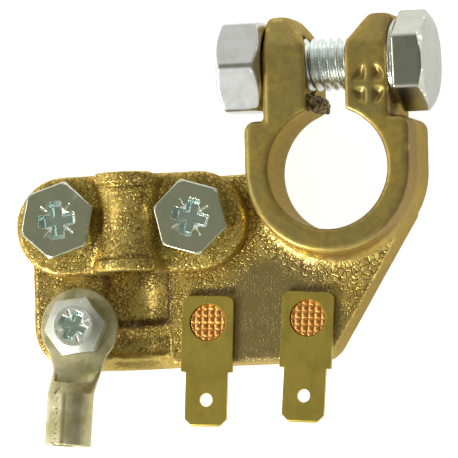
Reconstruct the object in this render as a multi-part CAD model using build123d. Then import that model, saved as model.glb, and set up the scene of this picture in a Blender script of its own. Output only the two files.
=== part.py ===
from build123d import *
import os
from math import cos, radians, sin, sqrt, tan

# Battery terminal clamp, in millimetres.
# The origin is on the axis of the battery post, level with the face of the base plate that carries
# the saddle, the lug and the blade tabs. +Z points away from the battery, +Y from the post to the
# clamp bolt, and +X along that bolt from its nut to its head.

# Post ring
post_radius = 8.9
ring_wall = 3.5
ring_top_z = 7.0
ring_edge_round = 0.9
ring_foot_round = 1.5
post_rim_round = 0.6
lead_in_height = 2.6
lead_in_widening = 0.8
shoulder_y = 7.25
shoulder_round = 1.6

# Ears
slot_width = 6.0
ear_thickness = 6.5
ear_past_bolt = 7.1
ear_tip_round = 3.4
tip_slope_reach = 4.5
tip_slope_drop = 3.0
tip_crease_round = 0.9
ear_edge_round = 1.0
tip_chamfer_x = 3.0
tip_chamfer_y = 4.2

# Clamp bolt and nut, M8
bolt_y = 15.45
bolt_z = 1.6
bolt_diameter = 8.0
bolt_length = 25.0
bolt_across_flats = 13.0
bolt_head_height = 5.3
bolt_washer_face = 0.6
bolt_tip_chamfer = 0.8
nut_height = 6.8
bolt_turn = 5.0
nut_turn = -1.5
ear_hole_clearance = 0.25
thread_clearance = 0.05

# Base plate
plate_thickness = 6.0
plate_past_cable = 15.7
plate_front = 27.35
plate_back = 0.2
plate_side_slope = 58.5
front_left_round = 6.5
front_right_round = 4.0
back_left_round = 6.9
plate_top_round = 0.9
plate_foot_round = 0.5
skirt_round = 2.4

# Cable trough and saddle
saddle_to_ring = 1.05
cable_axis_z = 2.2
trough_radius = 5.3
rib_radius = 4.5
mouth_flare = 1.0
step_inset = 7.15
rib_inset = 6.05
valley_inset = 4.45
mouth_inset = 2.25
saddle_overhang = 0.55
saddle_length = 34.5
saddle_width = 14.5
flange_thickness = 3.0
flange_edge_round = 0.8
arch_axis_z = 3.0
waist_radius = 4.1
arch_end_radius = 4.8
arch_bore_radius = 2.9
groove_radius = 4.4
groove_width = 0.8
lip_radius = 5.5
lip_width = 1.6
lip_round = 0.5
bore_flare = 0.9

# Saddle screws, M6, and lug screw, M5
saddle_screw_spacing = 20.0
saddle_screw_backs = (0.65, 0.25)
saddle_screw_diameter = 6.0
saddle_screw_across_flats = 10.0
saddle_screw_head = 4.0
saddle_screw_length = 8.0
saddle_screw_turns = (18.0, -17.0)
saddle_recess_turns = (5.0, -17.0)
flange_hole_clearance = 0.3
lug_screw_diameter = 5.0
lug_screw_across_flats = 8.0
lug_screw_head = 3.5
lug_screw_length = 6.0
lug_screw_turn = 5.5
lug_recess_turn = -28.0

# Ring lug
lug_past_cable = 8.56
lug_inset = 6.18
lug_lean = 4.85
lug_sheet = 1.0
lug_ring_diameter = 11.6
lug_neck_width = 7.1
lug_neck_reach = 6.4
lug_neck_start = 3.9
lug_barrel_start = 9.8
lug_reach = 17.5
lug_barrel_diameter = 6.8
lug_hole_clearance = 0.2
lug_seam = 0.25
lug_seam_turn = -27.0

# Blade tabs and their rivets
tab_inset = 6.1
tab_places = (19.95, 4.96)
tab_leans = (2.9, 4.56)
tab_thickness = 0.8
tab_root_width = 7.75
tab_root_back = 3.85
tab_root_front = 7.27
blade_width = 6.3
blade_tip = 15.2
blade_tip_chamfer = 1.1
blade_edge_bevel = 0.25
tab_corner_round = 1.1
detent_diameter = 1.9
detent_reach = 11.3
rivet_head_diameter = 5.3
rivet_head_height = 0.35
rivet_sink = 0.1
rivet_shank_diameter = 3.8
rivet_foot_diameter = 5.2
rivet_foot_height = 0.9
rivet_clearance = 0.03

# Shares of a screw's own sizes, and the taper of its recess in degrees
chamfer_circle_share = 0.95
screw_circle_share = 1.08
recess_width_share = 0.66
recess_wing_share = 0.26
recess_depth_share = 0.5
screw_tip_share = 0.1
recess_taper = 12.0

# How far a cutting tool runs past the face that it opens
overrun = 1.0

underside_z = -plate_thickness
ring_height = ring_top_z - underside_z
ring_radius = post_radius + ring_wall
ear_face_x = slot_width / 2 + ear_thickness
ear_tip_y = bolt_y + ear_past_bolt
bolt_radius = bolt_diameter / 2

# The cable lies beside the ring, and the plate, the lug and the tabs keep their places to it and to
# the plate's front edge.
cable_x = ring_radius + saddle_to_ring + saddle_length / 2
saddle_y = saddle_width / 2 - plate_back - saddle_overhang
plate_left = cable_x + plate_past_cable
lug_x = cable_x + lug_past_cable
lug_y = plate_front - lug_inset
tab_y = plate_front - tab_inset
step_y = plate_front - step_inset
rib_y = plate_front - rib_inset
valley_y = plate_front - valley_inset
mouth_y = plate_front - mouth_inset


def upright(radius, low, high):
    """Cylinder along Z between two heights."""
    return Pos(0, 0, low) * extrude(Circle(radius), amount=high - low)


def hexagon_prism(across_flats, height):
    """Hexagon bar standing on Z = 0 with a flat towards +Y."""
    hexagon = RegularPolygon(across_flats / 2, 6, major_radius=False)
    return extrude(hexagon, amount=height)


def chamfered_hexagon(across_flats, height, circle_share, chamfer_foot=False):
    """Hexagon bar whose corners are turned off at 30 degrees at its top, and at its foot if asked."""
    corner = across_flats / 2 / cos(radians(30))
    face = across_flats / 2 * circle_share
    drop = (corner - face) * tan(radians(30))
    foot = [(face, 0), (corner, drop)] if chamfer_foot else [(corner, 0)]
    top = [(corner, height - drop), (face, height), (0, height)]
    turned = make_face(Polyline((0, 0), *foot, *top, close=True))
    blank = revolve(Plane.XZ * turned, Axis.Z)
    return hexagon_prism(across_flats, height) & blank


def cross_recess(width, depth):
    """Cross-shaped driver recess, open at Z = 0 and narrowing downwards."""
    wing = width * recess_wing_share
    cross = Rectangle(width, wing) + Rectangle(wing, width)
    return extrude(cross, amount=-depth, taper=recess_taper)


def hexagon_screw(diameter, across_flats, head_height, length, turn, recess_turn):
    """Screw with its head's seat at Z = 0 and its shank down -Z."""
    head = Rot(0, 0, turn) * chamfered_hexagon(across_flats, head_height, screw_circle_share)
    recess_width = across_flats * recess_width_share
    recess = cross_recess(recess_width, head_height * recess_depth_share)
    head -= Pos(0, 0, head_height) * Rot(0, 0, recess_turn) * recess
    radius = diameter / 2
    tip = diameter * screw_tip_share
    shank = upright(radius, -length, 0)
    shank = chamfer(shank.edges().sort_by(Axis.Z)[:1], tip)
    return head + shank


def ring_block():
    """Ring with straight flanks up to the shoulders of the ears."""
    shoulders = FilletPolyline(
        (-ring_radius, 0),
        (-ring_radius, shoulder_y),
        (ring_radius, shoulder_y),
        (ring_radius, 0),
        radius=shoulder_round,
    )
    outline = make_face(shoulders + CenterArc((0, 0), ring_radius, 180, 180))
    block = Pos(0, 0, underside_z) * extrude(outline, amount=ring_height)
    block = fillet(block.edges().group_by(Axis.Z)[-1], ring_edge_round)
    return fillet(block.edges().group_by(Axis.Z)[0], ring_foot_round)


def ear():
    """Right-hand ear, from the middle of the ring's shoulder to its rounded and chamfered tip."""
    block = Box(
        ear_thickness,
        ear_tip_y,
        ring_height,
        align=(Align.MIN, Align.MIN, Align.MIN),
    )
    block = Pos(slot_width / 2, 0, underside_z) * block
    tip_edges = block.edges().filter_by(Axis.X).group_by(Axis.Y)[-1].sort_by(Axis.Z)
    block = fillet(tip_edges[0], ear_tip_round)
    along = block.edges().filter_by(Axis.X)
    tip_edge = along.sort_by(lambda edge: edge.center().Y + edge.center().Z)[-1]
    top_face = block.faces().sort_by(Axis.Z)[-1]
    block = chamfer(tip_edge, tip_slope_reach, tip_slope_drop, reference=top_face)
    creases = block.edges().filter_by(Axis.X).filter_by(lambda edge: edge.center().Z > 0)
    creases = creases.filter_by(lambda edge: edge.center().Y > overrun)
    block = fillet(creases, tip_crease_round)
    corner = make_face(
        Polyline(
            (slot_width / 2 - overrun, ear_tip_y + overrun),
            (slot_width / 2 - overrun, ear_tip_y - tip_chamfer_y),
            (slot_width / 2, ear_tip_y - tip_chamfer_y),
            (slot_width / 2 + tip_chamfer_x, ear_tip_y),
            (slot_width / 2 + tip_chamfer_x, ear_tip_y + overrun),
            close=True,
        )
    )
    block -= Pos(0, 0, underside_z) * extrude(corner, amount=ring_height)
    outer_face = block.faces().sort_by(Axis.X)[-1]
    outer_edges = outer_face.edges().filter_by(lambda edge: edge.center().Y > overrun)
    return fillet(outer_edges, ear_edge_round)


def post_bore():
    """Cutter for the post: a straight bore with a rounded rim above and a lead-in below."""
    rim_z = ring_top_z - post_rim_round
    rim_radius = post_radius + post_rim_round
    mouth_radius = post_radius + lead_in_widening
    below = underside_z - overrun
    above = ring_top_z + overrun
    rim = CenterArc((rim_radius, rim_z), post_rim_round, 90, 90)
    profile = (
        Polyline(
            (rim_radius, ring_top_z),
            (rim_radius, above),
            (0, above),
            (0, below),
            (mouth_radius, below),
            (mouth_radius, underside_z),
            (post_radius, underside_z + lead_in_height),
            (post_radius, rim_z),
        )
        + rim
    )
    return revolve(Plane.XZ * make_face(profile), Axis.Z)


def plate_outline():
    """Outline of the base plate: its slanted side is tangent to the ring."""
    tilt = radians(90 - plate_side_slope)
    touch_x = ring_radius * cos(tilt)
    touch_y = -ring_radius * sin(tilt)
    corner_x = touch_x - (plate_front + touch_y) * tan(tilt)
    sides = FilletPolyline(
        (0, plate_back),
        (-plate_left, plate_back),
        (-plate_left, -plate_front),
        (corner_x, -plate_front),
        (touch_x, touch_y),
        radius=[back_left_round, front_left_round, front_right_round],
    )
    inner = Line((touch_x, touch_y), (0, plate_back))
    return make_face(sides + inner)


def ring_skirt():
    """Concave cast fillet that runs from the ring's wall down to the face of the plate."""
    inner = post_radius + ring_wall / 2
    profile = (
        Polyline(
            (ring_radius, skirt_round),
            (inner, skirt_round),
            (inner, underside_z / 2),
            (ring_radius + skirt_round, underside_z / 2),
            (ring_radius + skirt_round, 0),
        )
        + CenterArc((ring_radius + skirt_round, skirt_round), skirt_round, 180, 90)
    )
    ring = revolve(Plane.XZ * make_face(profile), Axis.Z)
    column = Pos(0, 0, underside_z) * extrude(plate_outline(), amount=ring_height)
    return ring & column


def cable_trough():
    """Cutter for the trough: a bore about the cable's axis with a grip rib and a flared mouth."""
    mouth_radius = trough_radius + mouth_flare
    profile = (
        Polyline(
            (mouth_radius, -plate_front),
            (mouth_radius, -plate_front - overrun),
            (0, -plate_front - overrun),
            (0, plate_back + overrun),
            (trough_radius, plate_back + overrun),
            (trough_radius, -step_y),
            (rib_radius, -rib_y),
            (trough_radius, -valley_y),
            (trough_radius, -mouth_y),
        )
        + TangentArc(
            (trough_radius, -mouth_y), (mouth_radius, -plate_front), tangent=(0, -1)
        )
    )
    spindle = revolve(make_face(profile), Axis.Y)
    return Pos(-cable_x, 0, cable_axis_z) * spindle


def rivet_hole():
    """Cutter for one rivet's shank and for the foot that is set flush with the underside."""
    shank = rivet_shank_diameter / 2 + rivet_clearance
    foot = rivet_foot_diameter / 2 + rivet_clearance
    profile = Polyline(
        (0, underside_z - overrun),
        (foot, underside_z - overrun),
        (foot, underside_z),
        (shank, underside_z + rivet_foot_height),
        (shank, overrun),
        (0, overrun),
        close=True,
    )
    return revolve(Plane.XZ * make_face(profile), Axis.Z)


def saddle_screw_places():
    """The two screw places, left one first, each a little behind the middle of its flange."""
    half = saddle_screw_spacing / 2
    left_back, right_back = saddle_screw_backs
    return [
        Pos(-cable_x - half, left_back - saddle_y, 0),
        Pos(-cable_x + half, right_back - saddle_y, 0),
    ]


def tab_frames():
    """Each tab's frame: its rivet's axis, with the blade along -Y."""
    frames = []
    for place, lean in zip(tab_places, tab_leans):
        frames.append(Pos(-place, -tab_y, 0) * Rot(0, 0, -lean))
    return frames


def clamp_casting():
    """The body: one casting of ring, ears and base plate."""
    slot = Box(
        slot_width,
        shoulder_y + overrun,
        ring_height + 2 * overrun,
        align=(Align.CENTER, Align.MIN, Align.MIN),
    )
    right_ear = ear()
    body = ring_block() - Pos(0, 0, underside_z - overrun) * slot
    body += right_ear
    body += right_ear.mirror(Plane.YZ)
    plate = Pos(0, 0, underside_z) * extrude(plate_outline(), amount=plate_thickness)
    plate = fillet(plate.edges().group_by(Axis.Z)[-1], plate_top_round)
    plate = fillet(plate.edges().group_by(Axis.Z)[0], plate_foot_round)
    body += plate
    body += ring_skirt()
    body -= post_bore()
    body -= Pos(0, 0, underside_z - overrun) * slot
    ear_hole = Cylinder(
        bolt_radius + ear_hole_clearance, 2 * (ear_face_x + overrun), rotation=(0, 90, 0)
    )
    body -= Pos(0, bolt_y, bolt_z) * ear_hole
    body -= cable_trough()
    saddle_hole = saddle_screw_diameter / 2 + thread_clearance
    for place in saddle_screw_places():
        body -= place * upright(saddle_hole, underside_z - overrun, overrun)
    lug_hole = lug_screw_diameter / 2 + thread_clearance
    body -= Pos(-lug_x, -lug_y) * upright(lug_hole, underside_z - overrun, overrun)
    for frame in tab_frames():
        body -= frame * rivet_hole()
    return body


def clamp_bolt():
    """Hexagon bolt from the right, its washer face on the right ear, flat side up."""
    washer_radius = bolt_across_flats / 2 * chamfer_circle_share
    head = upright(washer_radius, 0, bolt_washer_face)
    hexagon_height = bolt_head_height - bolt_washer_face
    hexagon = chamfered_hexagon(bolt_across_flats, hexagon_height, chamfer_circle_share)
    head += Pos(0, 0, bolt_washer_face) * hexagon
    shank = upright(bolt_radius, -bolt_length, 0)
    shank = chamfer(shank.edges().sort_by(Axis.Z)[:1], bolt_tip_chamfer)
    seat = Pos(ear_face_x, bolt_y, bolt_z) * Rot(0, 90, 0)
    return seat * (Rot(0, 0, 90 + bolt_turn) * head + shank)


def clamp_nut():
    """Hexagon nut against the left ear, one corner up."""
    body = chamfered_hexagon(
        bolt_across_flats, nut_height, chamfer_circle_share, chamfer_foot=True
    )
    bore = bolt_radius + thread_clearance
    body -= upright(bore, -overrun, nut_height + overrun)
    seat = Pos(-ear_face_x, bolt_y, bolt_z) * Rot(0, -90, 0)
    return seat * Rot(0, 0, nut_turn) * body


def arch_outside():
    """Outer form of the arch about the cable: a narrow waist that swells to a rounded lip each end."""
    half = saddle_width / 2
    lip_in = half - lip_width
    groove_in = lip_in - groove_width
    waist = ThreePointArc(
        (arch_end_radius, -groove_in), (waist_radius, 0), (arch_end_radius, groove_in)
    )
    back_end = FilletPolyline(
        (arch_end_radius, groove_in),
        (groove_radius, (groove_in + lip_in) / 2),
        (lip_radius, lip_in),
        (lip_radius, half),
        (0, half),
        radius=[lip_round / 2, lip_round, lip_round],
    )
    front_end = back_end.mirror(Plane.XZ)
    axis = Line((0, -half), (0, half))
    return revolve(make_face(waist + back_end + front_end + axis), Axis.Y)


def arch_inside():
    """Cutter for the way of the cable under the arch, flared at both ends."""
    half = saddle_width / 2
    lip_in = half - lip_width
    flared = arch_bore_radius + bore_flare
    profile = Polyline(
        (0, -half - overrun),
        (flared, -half - overrun),
        (flared, -half),
        (arch_bore_radius, -lip_in),
        (arch_bore_radius, lip_in),
        (flared, half),
        (flared, half + overrun),
        (0, half + overrun),
        close=True,
    )
    return revolve(make_face(profile), Axis.Y)


def cable_saddle():
    """Strap over the cable: two flat flanges and an arch, cast in one piece."""
    flange = SlotOverall(saddle_length, saddle_width)
    flange = extrude(flange, amount=flange_thickness)
    flange = fillet(flange.edges().group_by(Axis.Z)[-1], flange_edge_round)
    above = Box(
        2 * lip_radius,
        saddle_width,
        arch_axis_z + lip_radius,
        align=(Align.CENTER, Align.CENTER, Align.MIN),
    )
    way = Box(
        2 * arch_bore_radius,
        saddle_width + 2 * overrun,
        arch_axis_z + overrun,
        align=(Align.CENTER, Align.CENTER, Align.MIN),
    )
    axis = Pos(0, 0, arch_axis_z)
    body = flange + (axis * arch_outside() & above)
    body -= axis * arch_inside()
    body -= Pos(0, 0, -overrun) * way
    body = Pos(-cable_x, -saddle_y, 0) * body
    hole = saddle_screw_diameter / 2 + flange_hole_clearance
    for place in saddle_screw_places():
        body -= place * upright(hole, -overrun, flange_thickness + overrun)
    return body


def ring_lug():
    """Crimp lug stamped and rolled from one sheet: ring, neck, scoop and barrel, built along -Y."""
    barrel_radius = lug_barrel_diameter / 2
    bore_radius = barrel_radius - lug_sheet
    axis_z = barrel_radius
    ring = extrude(Circle(lug_ring_diameter / 2), amount=lug_sheet)
    half_start = sqrt((lug_ring_diameter / 2) ** 2 - lug_neck_start**2)
    half_neck = lug_neck_width / 2
    neck = make_face(
        Polyline(
            (-half_start, -lug_neck_start),
            (half_start, -lug_neck_start),
            (half_neck, -lug_neck_reach),
            (-half_neck, -lug_neck_reach),
            close=True,
        )
    )
    flat = ring + extrude(neck, amount=lug_sheet)

    def station(reach, height):
        return Plane((0, -reach, height), x_dir=(1, 0, 0), z_dir=(0, -1, 0))

    outer_start = station(lug_neck_reach, lug_sheet / 2) * Rectangle(
        lug_neck_width, lug_sheet
    )
    outer_end = station(lug_barrel_start, axis_z) * Circle(barrel_radius)
    scoop = loft([outer_start, outer_end])
    hollow_start = station(lug_neck_reach, lug_sheet * 3 / 2) * Rectangle(
        lug_neck_width - lug_sheet, lug_sheet
    )
    hollow_end = station(lug_barrel_start, axis_z) * Circle(bore_radius)
    hollow = loft([hollow_start, hollow_end])
    barrel_length = lug_reach - lug_barrel_start
    barrel = extrude(outer_end, amount=barrel_length)
    bore = extrude(hollow_end, amount=barrel_length + overrun)
    seam = Box(
        lug_seam,
        barrel_length + 2 * overrun,
        2 * lug_sheet,
        align=(Align.CENTER, Align.MAX, Align.MIN),
    )
    body = scoop + barrel
    body -= hollow
    body -= bore
    barrel_axis = Pos(0, -lug_barrel_start + overrun, axis_z) * Rot(0, lug_seam_turn, 0)
    body -= barrel_axis * Pos(0, 0, bore_radius - lug_seam) * seam
    body += flat
    hole = lug_screw_diameter / 2 + lug_hole_clearance
    body -= upright(hole, -overrun, lug_sheet + overrun)
    return Pos(-lug_x, -lug_y, 0) * Rot(0, 0, -lug_lean) * body


def blade_tab(frame):
    """Stamped blade tab: wide root under the rivet, blade with a detent hole past the plate."""
    half_root = tab_root_width / 2
    half_blade = blade_width / 2
    outline = make_face(
        Polyline(
            (-half_root, tab_root_back),
            (-half_root, -tab_root_front),
            (-half_blade, -tab_root_front),
            (-half_blade, blade_tip_chamfer - blade_tip),
            (blade_tip_chamfer - half_blade, -blade_tip),
            (half_blade - blade_tip_chamfer, -blade_tip),
            (half_blade, blade_tip_chamfer - blade_tip),
            (half_blade, -tab_root_front),
            (half_root, -tab_root_front),
            (half_root, tab_root_back),
            close=True,
        )
    )
    outline = fillet(outline.vertices().group_by(Axis.Y)[-1], tab_corner_round)
    body = extrude(outline, amount=tab_thickness)
    tip_edges = body.edges().filter_by(Axis.X).group_by(Axis.Y)[0]
    body = chamfer(tip_edges, blade_edge_bevel)
    recess = rivet_head_diameter / 2 + rivet_clearance
    shank = rivet_shank_diameter / 2 + rivet_clearance
    seat_z = tab_thickness - rivet_sink - rivet_head_height
    body -= upright(shank, -overrun, tab_thickness)
    body -= upright(recess, seat_z, tab_thickness + overrun)
    detent = upright(detent_diameter / 2, -overrun, tab_thickness + overrun)
    body -= Pos(0, -detent_reach, 0) * detent
    return frame * body


def tab_rivet(frame):
    """Copper rivet: flat head sunk in the tab, foot spread flush with the underside."""
    face_z = tab_thickness - rivet_sink
    seat_z = face_z - rivet_head_height
    head = rivet_head_diameter / 2
    shank = rivet_shank_diameter / 2
    foot = rivet_foot_diameter / 2
    profile = Polyline(
        (0, underside_z),
        (foot, underside_z),
        (shank, underside_z + rivet_foot_height),
        (shank, seat_z),
        (head, seat_z),
        (head, face_z),
        (0, face_z),
        close=True,
    )
    return frame * revolve(Plane.XZ * make_face(profile), Axis.Z)


def saddle_screw(place, turn, recess_turn):
    """One M6 screw with its head on the saddle's flange."""
    screw = hexagon_screw(
        saddle_screw_diameter,
        saddle_screw_across_flats,
        saddle_screw_head,
        saddle_screw_length,
        turn,
        recess_turn,
    )
    return place * Pos(0, 0, flange_thickness) * screw


def lug_screw():
    """M5 screw with its head on the ring of the lug."""
    screw = hexagon_screw(
        lug_screw_diameter,
        lug_screw_across_flats,
        lug_screw_head,
        lug_screw_length,
        lug_screw_turn,
        lug_recess_turn,
    )
    return Pos(-lug_x, -lug_y, lug_sheet) * screw


left_place, right_place = saddle_screw_places()
left_tab, right_tab = tab_frames()
left_turn, right_turn = saddle_screw_turns
left_recess, right_recess = saddle_recess_turns
parts = {
    "clamp_casting": clamp_casting(),
    "clamp_bolt": clamp_bolt(),
    "clamp_nut": clamp_nut(),
    "cable_saddle": cable_saddle(),
    "saddle_screw_left": saddle_screw(left_place, left_turn, left_recess),
    "saddle_screw_right": saddle_screw(right_place, right_turn, right_recess),
    "lug_screw": lug_screw(),
    "ring_lug": ring_lug(),
    "blade_tab_left": blade_tab(left_tab),
    "blade_tab_right": blade_tab(right_tab),
    "tab_rivet_left": tab_rivet(left_tab),
    "tab_rivet_right": tab_rivet(right_tab),
}

os.makedirs("parts", exist_ok=True)
for name, shape in parts.items():
    export_step(shape, f"parts/{name}.step")
    print(name, round(shape.volume, 1), len(shape.solids()))
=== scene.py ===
import bpy
import math
from mathutils import Matrix, Vector


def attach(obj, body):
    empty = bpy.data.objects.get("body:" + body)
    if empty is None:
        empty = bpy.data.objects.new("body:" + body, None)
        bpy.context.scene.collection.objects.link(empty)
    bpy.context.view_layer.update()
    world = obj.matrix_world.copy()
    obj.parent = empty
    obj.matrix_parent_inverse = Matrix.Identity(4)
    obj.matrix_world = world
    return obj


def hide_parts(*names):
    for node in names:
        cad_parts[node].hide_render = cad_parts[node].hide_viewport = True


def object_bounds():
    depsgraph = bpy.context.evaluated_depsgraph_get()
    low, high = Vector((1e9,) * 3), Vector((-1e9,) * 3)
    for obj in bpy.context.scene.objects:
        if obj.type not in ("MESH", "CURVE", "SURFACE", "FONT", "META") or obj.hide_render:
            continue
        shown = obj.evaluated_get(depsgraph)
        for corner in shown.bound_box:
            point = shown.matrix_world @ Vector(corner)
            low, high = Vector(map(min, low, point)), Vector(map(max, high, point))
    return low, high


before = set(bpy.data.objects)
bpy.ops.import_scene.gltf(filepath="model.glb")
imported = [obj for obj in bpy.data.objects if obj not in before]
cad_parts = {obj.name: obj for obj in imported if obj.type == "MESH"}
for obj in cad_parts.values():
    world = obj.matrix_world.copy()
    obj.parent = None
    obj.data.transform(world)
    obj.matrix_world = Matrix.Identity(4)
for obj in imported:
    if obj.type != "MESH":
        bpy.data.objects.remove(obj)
cad_low, cad_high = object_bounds()

# Studio: the clamp lies on a pale floor in a light tent, which is bright at its sides, dimmer round
# the opening overhead and on the left, and dark at its doorway on the right. The camera looks down
# through the opening from far away, a little from the right, and the clamp lies turned by about a
# degree and a half in its picture.
looked_at = Vector((-0.0148, -0.0083, 0.007))
camera_distance = 2.0
camera_from_right = 0.25
camera_from_front = 0.075
camera_overhead = 0.966
picture_width = 0.0664
picture_lean = 0.0253
sensor_width = 36.0
sight_end = 10
picture_right = Vector((1, -picture_lean, 0)).normalized()
picture_up = Vector((picture_lean, 1, 0)).normalized()
towards_camera = picture_right * camera_from_right - picture_up * camera_from_front
towards_camera += Vector((0, 0, camera_overhead))
towards_camera.normalize()
camera_up = (picture_up - towards_camera * picture_up.dot(towards_camera)).normalized()
camera_right = camera_up.cross(towards_camera)
bpy.ops.object.camera_add()
camera = bpy.context.object
camera.name = "tent_camera"
camera.data.sensor_width = sensor_width
camera.data.lens = sensor_width * camera_distance / picture_width
camera.data.clip_end = sight_end
camera.matrix_world = Matrix.LocRotScale(
    looked_at + towards_camera * camera_distance,
    Matrix((camera_right, camera_up, towards_camera)).transposed().to_quaternion(),
    None,
)
bpy.context.scene.camera = camera
bpy.context.scene.view_settings.view_transform = "Standard"


def add_node(owner, kind, feeds=None, **settings):
    """Adds a node with its settings, and feeds its inputs with numbers or nodes' outputs."""
    made = owner.node_tree.nodes.new(kind)
    for key, value in settings.items():
        setattr(made, key, value)
    for key, value in (feeds or {}).items():
        if isinstance(value, bpy.types.NodeSocket):
            owner.node_tree.links.new(value, made.inputs[key])
        else:
            made.inputs[key].default_value = value
    return made


def step_mask(owner, value, low, high):
    """Rises smoothly from 0 to 1 as a value goes from low to high."""
    feeds = {"Value": value, "From Min": low, "From Max": high}
    mapped = add_node(owner, "ShaderNodeMapRange", feeds, interpolation_type="SMOOTHSTEP")
    return mapped.outputs["Result"]


def arithmetic(owner, operation, first, second=0.0, third=0.0):
    """One sum on numbers or outputs."""
    feeds = {0: first, 1: second, 2: third}
    return add_node(owner, "ShaderNodeMath", feeds, operation=operation).outputs[0]


def product(owner, first, *others):
    """Multiplies numbers or outputs in their order."""
    for other in others:
        first = arithmetic(owner, "MULTIPLY", first, other)
    return first


def mix_colour(owner, factor, first, second):
    """Mixes two colours."""
    feeds = {0: factor, 6: first, 7: second}
    return add_node(owner, "ShaderNodeMix", feeds, data_type="RGBA").outputs[2]


tent_sides = (1.0, 1.0, 0.98, 1)
tent_opening = (0.30, 0.305, 0.24, 1)
tent_doorway = (0.25, 0.24, 0.24, 1)
tent_left = (0.60, 0.60, 0.57, 1)
tent_strength = 0.82
overhead_span = (0.62, 0.90)
doorway_span = (0.25, 0.60)
above_floor_span = (0.0, 0.12)
left_span = (-0.60, -0.85)
tent = bpy.data.worlds.new("light_tent")
bpy.context.scene.world = tent
tent.use_nodes = True
tent.node_tree.nodes.clear()
direction = add_node(tent, "ShaderNodeTexCoord").outputs["Generated"]
direction = add_node(tent, "ShaderNodeSeparateXYZ", {0: direction}).outputs
overhead = step_mask(tent, direction["Z"], *overhead_span)
doorway = step_mask(tent, direction["X"], *doorway_span)
doorway = product(tent, doorway, step_mask(tent, direction["Z"], *above_floor_span))
left_side = step_mask(tent, direction["X"], *left_span)
cloth = mix_colour(tent, overhead, tent_sides, tent_opening)
cloth = mix_colour(tent, doorway, cloth, tent_doorway)
cloth = mix_colour(tent, left_side, cloth, tent_left)
tent_light = add_node(tent, "ShaderNodeBackground", {"Color": cloth, "Strength": tent_strength})
add_node(tent, "ShaderNodeOutputWorld", {"Surface": tent_light.outputs[0]})


def softbox(name, side, distance, width, watts):
    """Square lamp on one side of the clamp, turned towards it."""
    towards_lamp = Vector(side).normalized()
    bpy.ops.object.light_add(type="AREA")
    lamp = bpy.context.object
    lamp.name = name
    lamp.data.shape = "SQUARE"
    lamp.data.size = width
    lamp.data.energy = watts
    lamp.location = looked_at + towards_lamp * distance
    lamp.rotation_mode = "QUATERNION"
    lamp.rotation_quaternion = towards_lamp.to_track_quat("Z", "Y")


softbox("softbox_front_left", side=(-0.62, -0.66, 0.42), distance=0.6, width=0.14, watts=3.3)
softbox("softbox_left", side=(-0.76, 0.05, 0.64), distance=0.6, width=0.2, watts=0.5)

floor_gap = 0.00002
floor_size = 20.0
floor_white = (0.93, 0.93, 0.93, 1)
floor_lift = 0.88
mirrored_lift = 0.64
bpy.ops.mesh.primitive_plane_add(size=floor_size, location=(0, 0, cad_low.z - floor_gap))
floor = bpy.context.object
floor.name = "tent_floor"
floor_paper = bpy.data.materials.new("tent_floor_paper")
floor_paper.use_nodes = True
floor_paper.node_tree.nodes.clear()
ray = add_node(floor_paper, "ShaderNodeLightPath")
lift = arithmetic(
    floor_paper, "MAXIMUM", ray.outputs["Is Glossy Ray"], ray.outputs["Is Transmission Ray"]
)
lift = product(floor_paper, lift, mirrored_lift)
lift = arithmetic(floor_paper, "MULTIPLY_ADD", ray.outputs["Is Camera Ray"], floor_lift, lift)
paper = add_node(
    floor_paper,
    "ShaderNodeBsdfPrincipled",
    {
        "Base Color": floor_white,
        "Roughness": 0.9,
        "Specular IOR Level": 0.1,
        "Emission Color": (1, 1, 1, 1),
        "Emission Strength": lift,
    },
)
add_node(floor_paper, "ShaderNodeOutputMaterial", {"Surface": paper.outputs[0]})
floor.data.materials.append(floor_paper)

# Clamp casting: ring, ears and base plate are one brass casting with a thin yellow passivated skin.
# The skin is glossy all over. It has dried to a fine crackle on the plate, in the trough and on the
# fillet under the ring, and stayed smooth on the ring and the ears.
merge_gap = 1e-6
crisp_angle = math.radians(30)
smoothing_factor = 0.5


def choose(piece):
    """Selects one piece alone and makes it active."""
    bpy.ops.object.select_all(action="DESELECT")
    piece.select_set(True)
    bpy.context.view_layer.objects.active = piece


def apply_modifiers(piece):
    """Applies all modifiers of a piece in their order."""
    choose(piece)
    for modifier in list(piece.modifiers):
        bpy.ops.object.modifier_apply(modifier=modifier.name)


def settle(name):
    """Names the primitive that was just added, and takes its place and scale into its mesh."""
    piece = bpy.context.object
    piece.name = name
    choose(piece)
    bpy.ops.object.transform_apply(location=True, rotation=True, scale=True)
    return piece


def copy_of_node(node, name):
    """A copy of a CAD node's mesh as a piece of its own, with its loose triangles merged."""
    piece = bpy.data.objects.new(name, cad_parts[node].data.copy())
    bpy.context.scene.collection.objects.link(piece)
    piece.data.materials.clear()
    choose(piece)
    bpy.ops.mesh.customdata_custom_splitnormals_clear()
    bpy.ops.object.mode_set(mode="EDIT")
    bpy.ops.mesh.select_all(action="SELECT")
    bpy.ops.mesh.remove_doubles(threshold=merge_gap)
    bpy.ops.object.mode_set(mode="OBJECT")
    return piece


def combine(piece, other, operation, solver="EXACT"):
    """Cuts a piece with another, or joins or intersects the two, and removes the other."""
    modifier = piece.modifiers.new(operation.lower(), "BOOLEAN")
    modifier.operation = operation
    modifier.solver = solver
    modifier.object = other
    apply_modifiers(piece)
    bpy.data.objects.remove(other)


def smooth(piece, iterations, group=""):
    """Evens a piece's skin out, all over or within a vertex group."""
    modifier = piece.modifiers.new("softened", "SMOOTH")
    modifier.factor = smoothing_factor
    modifier.iterations = iterations
    modifier.vertex_group = group
    apply_modifiers(piece)


def remesh(piece, voxel, smoothing):
    """Remakes a piece's skin in even faces, which rounds its edges as a casting's are."""
    modifier = piece.modifiers.new("even_faces", "REMESH")
    modifier.mode = "VOXEL"
    modifier.voxel_size = voxel
    modifier.use_smooth_shade = True
    apply_modifiers(piece)
    smooth(piece, smoothing)


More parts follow.
